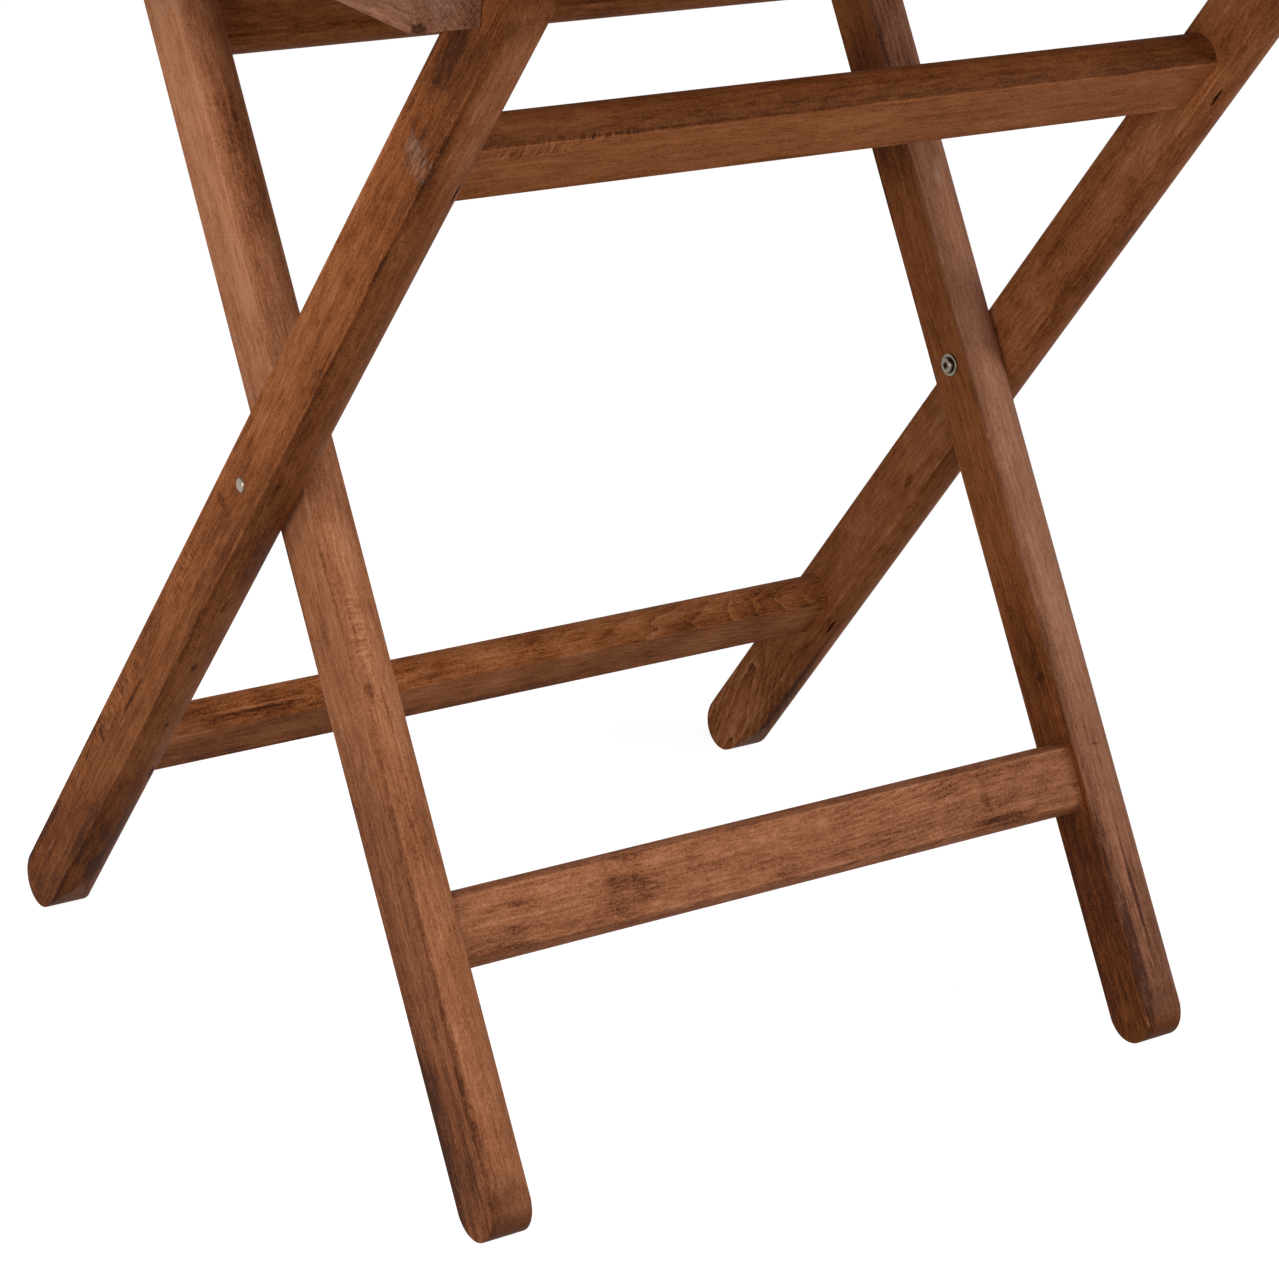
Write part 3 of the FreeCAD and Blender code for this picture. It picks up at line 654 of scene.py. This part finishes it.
# %% Legs and rails
SEED_STEP = 17.3
seed = 0.0
for node, board in BOARDS.items():
    rise = upwards(LEAN if node.startswith("outer") else -LEAN)
    seed += SEED_STEP
    if "leg" in node:
        start = Vector((middle(node).x, pivot.y, pivot.z))
        turn = board_turn(rise, X_AXIS)
        ridge = LEG_RIDGE
        board = {**board, "marks": board["marks"] + slit_shade_and_stain(node)}
    else:
        start = middle(node)
        turn = board_turn(X_AXIS, X_AXIS.cross(rise))
        ridge = rail_ridge(node, rise)
    wood = stained_beech(f"stained_beech_{node}", start, turn, seed, ridge=ridge, **board)
    finish_with(node, wood)

# %% [markdown]
# ## Tray and runners
#
# The tray is a flat base in four low walls, and the runners are plain battens screwed under it,
# which keep it from sliding sideways off the frames.  None of these boards has crowned edges, so
# the same material is used without ridges.  Only the left runner's front end, sawn, sanded and
# rubbed pale, has marks of its own.

# %% Tray and runners
RUNNER_HALF = 189
TRAY_BOARDS = {
    "runner_left": {"end_dark": 0.25, "tone": 0.62, "dry": (1, -30, -29, 0.15),
                    "scuffs": ((-RUNNER_HALF, 0, 2, (3, 12, 9)),),
                    "marks": ((-RUNNER_HALF, 14, 13, (3, 3, 6), -0.5),
                              (-RUNNER_HALF, 8, -12, (3, 12, 6), -0.12))},
}
for node, grain, out in (
        ("tray_base", X_AXIS, Z_AXIS),
        ("tray_front_wall", X_AXIS, -Y_AXIS), ("tray_back_wall", X_AXIS, Y_AXIS),
        ("tray_end_left", Y_AXIS, -X_AXIS), ("tray_end_right", Y_AXIS, X_AXIS),
        ("runner_left", Y_AXIS, -X_AXIS), ("runner_right", Y_AXIS, X_AXIS)):
    seed += SEED_STEP
    pith = (35, 40 + 5 * seed % 30)     # 40 to 70 mm away, another distance for each board
    wood = stained_beech(f"stained_beech_{node}", middle(node), board_turn(grain, out), seed,
                         pith=pith, **TRAY_BOARDS.get(node, {}))
    finish_with(node, wood)

# %% [markdown]
# ## Steel of the pivots
#
# The pivots are nickel-plated steel: grey with a warm cast, tumbled rather than polished, so it
# reflects softly.  Dark rings are painted where the head meets the washer, at the washer's rim
# and where the sleeve comes out of the wood, and the driver's recess is painted dark: painted
# shade in those rims and hollows.  Noise finer than the screw head mottles the plate, and the
# rings are drawn by their radius about the pivot's axis.

# %% Nickel plate, tumbled
TUMBLED_MM = 0.7            # tumbling marks are about 0.1 mm, too fine to show, so drawn coarser
RING_CORE_MM = 0.1          # a painted shaded ring is darkest within this of its radius


def shaded_ring(tree, offset, radius_mm, width_mm):
    """1 on a ring about the pivot's axis, fading out over width_mm on both sides."""
    flat = add(tree, "VectorMath", [offset, (0.0, 1.0, 1.0)], operation="MULTIPLY")
    radius = add(tree, "VectorMath", [flat], operation="LENGTH").outputs["Value"]
    off = add(tree, "Math", [radius, radius_mm * MM], operation="SUBTRACT")
    off = add(tree, "Math", [off], operation="ABSOLUTE")
    return add(tree, "MapRange", {"Value": off, 1: RING_CORE_MM * MM, 2: width_mm * MM, 3: 1.0,
                                  4: 0.0}, interpolation_type="SMOOTHSTEP")


def plated_steel(name, colour, grime_and_shade, roughness, rings=()):
    """Nickel-plated steel, tumbled: a soft grey shine with faint marks.

    rings are (radius, width) of painted shade at rims and in the recess, in mm.
    """
    material, tree = new_material(name)
    where = add(tree, "TexCoord")
    offset = add(tree, "VectorMath", [where.outputs["Object"], pivot], operation="SUBTRACT")
    marks = add(tree, "TexNoise", {"Vector": offset, "Scale": 1 / (TUMBLED_MM * MM), "Detail": 3.0})
    # dirt stays in the deeper marks
    dirt_and_shade = add(tree, "MapRange", {"Value": marks, 1: 0.45, 2: 0.75, 3: 0.0, 4: 0.6})
    # rings of painted shade darken the rims and the recess
    for radius_mm, width_mm in rings:
        dirt_and_shade = add(tree, "Math", [dirt_and_shade, shaded_ring(tree, offset, radius_mm, width_mm)],
                   operation="MAXIMUM")
    shade = add(tree, "MixRGB", [dirt_and_shade, linear(colour), linear(grime_and_shade)])
    rough = add(tree, "MapRange", {"Value": marks, 1: 0.3, 2: 0.7, 3: roughness - 0.08,
                                   4: roughness + 0.12})
    bump = add(tree, "Bump", {"Strength": 0.15, "Distance": 0.05 * MM, "Height": marks})
    shader = add(tree, "BsdfPrincipled", {
        "Base Color": shade, "Metallic": 1.0, "Roughness": rough, "Normal": bump})
    add(tree, "OutputMaterial", [shader])
    # the printed count is of the rings of painted shade
    print(name, colour, "grimy rings:", len(rings))
    return material


# the sleeve nut's dome is bright, with one ring of painted shade at its rim where it comes out of
# the wood
sleeve_steel = plated_steel("tumbled_nickel_plate_sleeve", "#a39788", "#3d3530", 0.22,
                            rings=((4.1, 1.3),))
# the screw and its washer are duller, with painted shade in the recess, round the head and at the
# washer's rim
screw_steel = plated_steel("tumbled_nickel_plate_screw", "#877b6e", "#43372d", 0.28,
                           rings=((1.2, 1.4), (4.5, 0.7), (6.6, 0.5)))
# the staples lie sunk in their slits; the wire is painted near black, as painted shade of the deep
# slits
wire = plated_steel("staple_wire_painted_as_shade", "#2b221c", "#1c1512", 0.5)
for node in NODES:
    if node == "runner_screws":
        finish_with(node, screw_steel)
    if node.endswith("staples"):
        finish_with(node, wire)

# %% [markdown]
# ## Spacers
#
# A thin moulded ring of nylon keeps the two legs apart at each pivot.  It is almost hidden in
# the gap, so a plain dark shader whose roughness varies a little is enough.

# %% A moulded spacer
SKIN_MM = 1.2               # a mould's skin is finer than this, and drawn coarser so that it shows


def moulded_nylon(name, colour):
    """Moulded nylon: nearly black and dull, with the slightly uneven skin that a mould leaves."""
    material, tree = new_material(name)
    where = add(tree, "TexCoord")
    marks = add(tree, "TexNoise", {"Vector": where.outputs["Object"],
                                   "Scale": 1 / (SKIN_MM * MM)})
    rough = add(tree, "MapRange", {"Value": marks, 1: 0.3, 2: 0.7, 3: 0.5, 4: 0.65})
    shader = add(tree, "BsdfPrincipled", {"Base Color": linear(colour), "Roughness": rough})
    add(tree, "OutputMaterial", [shader])
    print(name, colour)
    return material


nylon = moulded_nylon("moulded_nylon", "#231a14")
for side in ("left", "right"):
    finish_with(f"pivot_spacer_{side}", nylon)

# %% [markdown]
# ## Turned fasteners
#
# Nuts, screws and washers are turned or cold-headed from round bar.  They could be built from
# cylinders, but a profile spun about its axis gives the dome and the rounded rim as well.  A
# profile runs from the axis round to the axis again, as (along, radius) in mm, with along
# counted from the place where the piece starts.

# %% Spinning a profile
SHARP = math.radians(35)    # edges bent more than this stay crisp


def arc_points(centre, radius, start, end, steps=8):
    """Points on an arc, angles in degrees from the axis direction."""
    turns = [math.radians(start + (end - start) * i / steps) for i in range(steps + 1)]
    return [(centre[0] + radius * math.cos(a), centre[1] + radius * math.sin(a)) for a in turns]


def set_down(form, name, place, axis):
    """Turns a form's X to axis, moves it to place and makes it an object of the scene."""
    turn = X_AXIS.rotation_difference(axis).to_matrix().to_4x4()
    bmesh.ops.transform(form, matrix=Matrix.Translation(place) @ turn, verts=form.verts)
    mesh = bpy.data.meshes.new(name)
    form.to_mesh(mesh)
    form.free()
    thing = bpy.data.objects.new(name, mesh)
    bpy.context.scene.collection.objects.link(thing)
    return thing


def spun(name, profile, place, axis, steps=64):
    """A solid of revolution.  A profile that touches the axis at both ends is closed by it."""
    form = bmesh.new()
    closed = profile[0][1] > 0
    verts = [form.verts.new((along * MM, radius * MM, 0)) for along, radius in profile]
    pairs = list(zip(verts, verts[1:] + verts[:1] if closed else verts[1:]))
    edges = [form.edges.new(pair) for pair in pairs]
    bmesh.ops.spin(form, geom=verts + edges, cent=(0, 0, 0), axis=(1, 0, 0),
                   angle=math.tau, steps=steps, use_merge=True)
    bmesh.ops.remove_doubles(form, verts=form.verts, dist=1e-7)
    bmesh.ops.recalc_face_normals(form, faces=form.faces)
    for face in form.faces:
        face.smooth = True
    for edge in form.edges:
        if len(edge.link_faces) == 2 and edge.calc_face_angle() > SHARP:
            edge.smooth = False
    return set_down(form, name, place, axis)


# %% A driver's cross recess
SLAB_TAPER = 0.6            # the recess narrows to this share at its bottom


def cut_cross(thing, place, axis, span_mm, width_mm, depth_mm):
    """Cuts a driver's cross recess into the face of a screw head at place, looking along axis."""
    form = bmesh.new()
    for long_y, long_z in ((span_mm, width_mm), (width_mm, span_mm)):
        slab = bmesh.ops.create_cube(form, size=1.0)["verts"]
        bmesh.ops.scale(form, vec=(2 * depth_mm * MM, long_y * MM, long_z * MM), verts=slab)
        deep = [v for v in slab if v.co.x > 0]
        bmesh.ops.scale(form, vec=(1, SLAB_TAPER, SLAB_TAPER), verts=deep)
    cutter = set_down(form, "cross_cutter", place, axis)
    cut = thing.modifiers.new("cross recess", "BOOLEAN")
    cut.operation, cut.solver, cut.object, cut.use_self = "DIFFERENCE", "EXACT", cutter, True
    bpy.context.view_layer.update()
    graph = bpy.context.evaluated_depsgraph_get()
    done = bpy.data.meshes.new_from_object(thing.evaluated_get(graph))
    thing.modifiers.clear()
    thing.data = done
    bpy.data.objects.remove(cutter)


# %% Putting a turned piece in its packed one's place


def fit_out(thing, node, body, material):
    """Puts a finished piece in place of its packed one."""
    thing.data.materials.clear()
    thing.data.materials.append(material)
    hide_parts(node)
    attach(thing, body)
    print(thing.name, "faces:", len(thing.data.polygons))


def end_and_length(node, low_end):
    """Where a turned piece starts, at its low-X or high-X end, and its length in mm."""
    low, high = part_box(node)
    return Vector((low.x if low_end else high.x, pivot.y, pivot.z)), (high.x - low.x) / MM


# %% [markdown]
# ## The pivots' hardware
#
# A sleeve nut with a domed, closed end runs through both legs from outside, and a pan-head
# screw with a flat washer is driven into it from inside.  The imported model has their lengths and
# places, so those are read from its boxes, and only the profiles are drawn finer here.

# %% Sleeve nuts, screws and washers
NUT_RADIUS, DOME_HEIGHT, BORE_RADIUS, SHANK_RADIUS = 3.8, 1.5, 2.55, 2.5
HEAD_RADIUS, HEAD_THICK = 4.3, 2.4
WASHER_THICK, RIM_ROUND, WASHER_FLAT = 1.2, 0.4, 6.0
dome_radius = (NUT_RADIUS ** 2 + DOME_HEIGHT ** 2) / (2 * DOME_HEIGHT)
half_turn = math.degrees(math.asin(NUT_RADIUS / dome_radius))
dome = arc_points((dome_radius, 0), dome_radius, 180, 180 - half_turn)
barrel = [(1.62, NUT_RADIUS)]           # a first short step keeps the dome's edge crisp
# the pan head's face is almost flat, and rounds over to its rim
pan = [(0, 0), (0.05, 1.2)] + arc_points((1.45, 2.9), 1.4, 170, 90, 6)
head = pan + [(HEAD_THICK, HEAD_RADIUS), (HEAD_THICK, SHANK_RADIUS)]
rim = (arc_points((RIM_ROUND, WASHER_FLAT), RIM_ROUND, 180, 90, 4)
       + arc_points((WASHER_THICK - RIM_ROUND, WASHER_FLAT), RIM_ROUND, 90, 0, 4))
for side in ("left", "right"):
    is_left = side == "left"
    inward = X_AXIS if is_left else -X_AXIS

    outside, length = end_and_length(f"pivot_sleeve_{side}", is_left)
    bore = [(length, NUT_RADIUS), (length, BORE_RADIUS), (9.6, BORE_RADIUS), (8.6, 0)]
    sleeve = spun(f"sleeve_nut_{side}", dome + barrel + bore, outside, inward)
    fit_out(sleeve, f"pivot_sleeve_{side}", "outer_frame", sleeve_steel)

    crown, length = end_and_length(f"pivot_screw_{side}", not is_left)
    shank = [(length - 0.8, SHANK_RADIUS), (length, 1.7), (length, 0)]
    screw = spun(f"pan_head_screw_{side}", head + shank, crown, -inward)
    cut_cross(screw, crown, -inward, span_mm=5.2, width_mm=1.3, depth_mm=1.4)
    fit_out(screw, f"pivot_screw_{side}", "outer_frame", screw_steel)

    face, _ = end_and_length(f"pivot_screw_washer_{side}", not is_left)
    hole = [(WASHER_THICK, BORE_RADIUS), (0, BORE_RADIUS)]
    washer = spun(f"flat_washer_{side}", rim + hole, face, -inward)
    fit_out(washer, f"pivot_screw_washer_{side}", "outer_frame", screw_steel)

# %% [markdown]
# ## Floor and world
#
# A plain white floor and a white world stand for a studio.  Lamps strong enough to turn a floor
# white would also bleach the table, so the floor and the world glow only for rays that come from
# the camera, or by way of metal or glass, and light the wood hardly at all.  The floor keeps the
# table's shadow, and glows a little more further off, so that it runs into the white world
# without a line.

# %% Floor


def seen_directly(tree):
    """1 for rays from the camera, and for those that metal or glass passed on."""
    ray = add(tree, "LightPath")
    seen = add(tree, "Math", [ray.outputs["Is Camera Ray"], ray.outputs["Is Glossy Ray"]],
               operation="MAXIMUM")
    return add(tree, "Math", [seen, ray.outputs["Is Transmission Ray"]], operation="MAXIMUM")


bpy.ops.mesh.primitive_plane_add(size=30)
floor = bpy.context.object
floor.name = "floor"
# matt white studio paint: even, without any gloss
material, tree = new_material("white_studio_floor")
matt = add(tree, "BsdfDiffuse", {"Color": linear("#a8a6a3")})
where = add(tree, "TexCoord")
away = add(tree, "VectorMath", [where.outputs["Object"]], operation="LENGTH").outputs["Value"]
level = add(tree, "MapRange", {"Value": away, 1: 1.0, 2: 4.0, 3: 0.89, 4: 1.0})
glow = add(tree, "Emission", {"Color": linear("#ffffff"), "Strength": level})
both = add(tree, "AddShader", [matt, glow])
mixed = add(tree, "MixShader", [seen_directly(tree), matt, both])
add(tree, "OutputMaterial", [mixed])
floor.data.materials.append(material)
print("floor, m:", [round(v, 1) for v in floor.dimensions])

# %% World
WORLD_LIGHT = 0.12
world = bpy.data.worlds.new("white_studio")
bpy.context.scene.world = world
world.use_nodes = True
tree = world.node_tree
tree.nodes.clear()
soft = add(tree, "Background", {"Color": linear("#ffffff"), "Strength": WORLD_LIGHT})
white = add(tree, "Background", {"Color": linear("#ffffff"), "Strength": 1.0})
mixed = add(tree, "MixShader", [seen_directly(tree), soft, white])
add(tree, "OutputWorld", [mixed])
print("world light on the table:", WORLD_LIGHT)

# %% [markdown]
# ## Lamps
#
# Light comes mostly from the left: a window, a soft box high up beside it and one low at the
# front.  A fourth, to the right, lifts the sides that face away.  All are large, so that shadows
# and highlights have soft edges.

# %% Lamps
LAMPS = (
    # name, place in m, size in m, power in W
    ("high_left_soft_box", (-1.1, -0.3, 1.6), 0.45, 11),
    ("left_window", (-2.8, -0.9, 0.85), 1.2, 28),
    ("front_soft_box", (-0.7, -1.85, 0.9), 0.9, 13),
    ("right_soft_box", (1.5, -1.55, 1.45), 1.0, 20),
)


def soft_lamp(name, place, target, size, power):
    """A square soft box that faces its target."""
    light = bpy.data.lights.new(name, "AREA")
    light.size = size
    light.energy = power
    lamp = bpy.data.objects.new(name, light)
    bpy.context.scene.collection.objects.link(lamp)
    lamp.location = place
    lamp.rotation_mode = "QUATERNION"
    lamp.rotation_quaternion = (target - Vector(place)).to_track_quat("-Z", "Y")
    lamp.visible_camera = False
    print(name, "from the table, m:", round((target - Vector(place)).length, 2))


table_middle = (cad_low + cad_high) / 2
for name, place, size, power in LAMPS:
    soft_lamp(name, place, table_middle, size, power)

# %% [markdown]
# ## Camera
#
# A long lens from the left, above the tray, looks down at the crossed legs.  It is given by where
# it stands, and by how far it is turned, dipped and rolled.

# %% Camera
EYE = Vector((-1.151, -1.5384, 1.0112))
HEADING, DIP, ROLL = 0.6431, -0.4009, 0.0791
SENSOR_MM, LENS_MM = 36.0, 108.75
level_part = math.cos(DIP)
ahead = Vector((math.sin(HEADING) * level_part, math.cos(HEADING) * level_part, math.sin(DIP)))
lens = bpy.data.cameras.new("camera")
lens.sensor_fit = "HORIZONTAL"
lens.sensor_width = SENSOR_MM
lens.lens = LENS_MM
camera = bpy.data.objects.new("camera", lens)
bpy.context.scene.collection.objects.link(camera)
camera.location = EYE
camera.rotation_mode = "QUATERNION"
camera.rotation_quaternion = ahead.to_track_quat("-Z", "Y") @ Quaternion(Z_AXIS, ROLL)
bpy.context.scene.camera = camera
bpy.context.scene.view_settings.view_transform = "Standard"
print("field of view, degrees:", round(math.degrees(lens.angle), 1))
